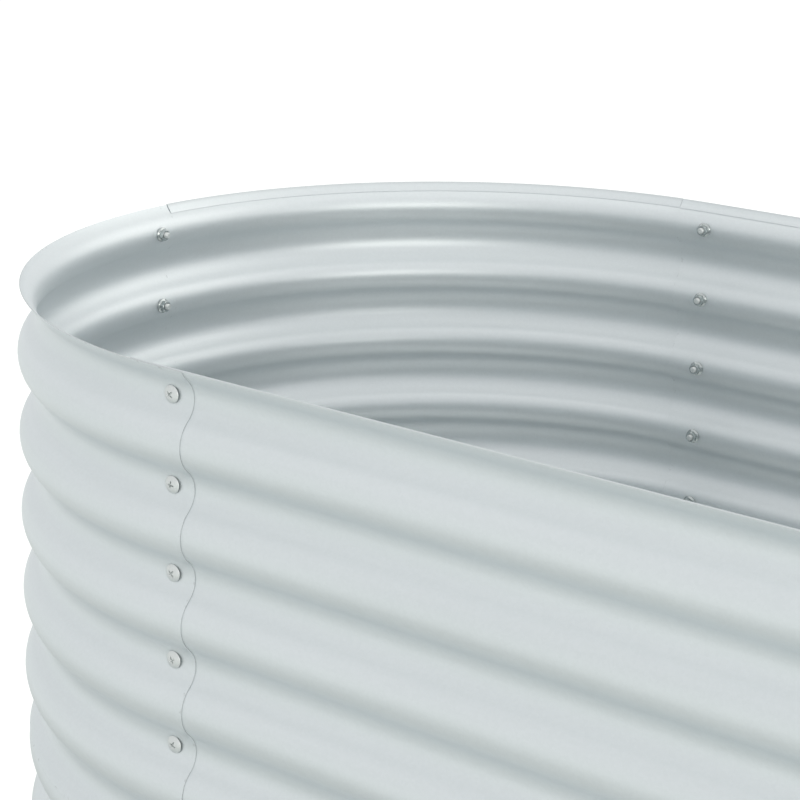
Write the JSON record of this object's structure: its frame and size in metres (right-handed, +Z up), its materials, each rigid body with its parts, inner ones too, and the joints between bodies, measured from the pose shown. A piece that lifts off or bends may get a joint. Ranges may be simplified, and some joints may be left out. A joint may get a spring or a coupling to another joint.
{
  "type": "raised garden bed",
  "caption": "Free-standing oval raised garden bed of corrugated coated steel panels in stacked tiers, open at top and bottom, bolted at lap seams.",
  "frame": {"origin": "middle of the footprint, on the ground", "axes": "+Z up, +X along the long walls, +Y towards the back wall"},
  "size_m": [1.5998, 0.8, 0.77],
  "materials": {
    "coated_sheet": "satin silver-grey zinc coating on thin corrugated steel sheet",
    "screws": "zinc-plated, satin, low domed head with a cross recess",
    "nuts": "zinc-plated flange nuts"
  },
  "bodies": {
    "root": {"lower_front_straight_panel": "coated_sheet", "lower_back_straight_panel": "coated_sheet", "lower_front_left_quarter_panel": "coated_sheet", "lower_back_right_quarter_panel": "coated_sheet", "lower_back_left_quarter_panel": "coated_sheet", "lower_front_right_quarter_panel": "coated_sheet", "upper_front_straight_panel": "coated_sheet", "upper_back_straight_panel": "coated_sheet", "upper_front_left_quarter_panel": "coated_sheet", "upper_back_right_quarter_panel": "coated_sheet", "upper_back_left_quarter_panel": "coated_sheet", "upper_front_right_quarter_panel": "coated_sheet", "front_left_lower_screws": "screws", "front_left_lap_screws": "screws", "front_left_upper_screws": "screws", "left_end_lower_screws": "screws", "left_end_lap_screws": "screws", "left_end_upper_screws": "screws", "back_left_lower_screws": "screws", "back_left_lap_screws": "screws", "back_left_upper_screws": "screws", "back_right_lower_screws": "screws", "back_right_lap_screws": "screws", "back_right_upper_screws": "screws", "right_end_lower_screws": "screws", "right_end_lap_screws": "screws", "right_end_upper_screws": "screws", "front_right_lower_screws": "screws", "front_right_lap_screws": "screws", "front_right_upper_screws": "screws", "front_left_lower_nuts": "nuts", "front_left_lap_nuts": "nuts", "front_left_upper_nuts": "nuts", "left_end_lower_nuts": "nuts", "left_end_lap_nuts": "nuts", "left_end_upper_nuts": "nuts", "back_left_lower_nuts": "nuts", "back_left_lap_nuts": "nuts", "back_left_upper_nuts": "nuts", "back_right_lower_nuts": "nuts", "back_right_lap_nuts": "nuts", "back_right_upper_nuts": "nuts", "right_end_lower_nuts": "nuts", "right_end_lap_nuts": "nuts", "right_end_upper_nuts": "nuts", "front_right_lower_nuts": "nuts", "front_right_lap_nuts": "nuts", "front_right_upper_nuts": "nuts"}
  },
  "joints": []
}
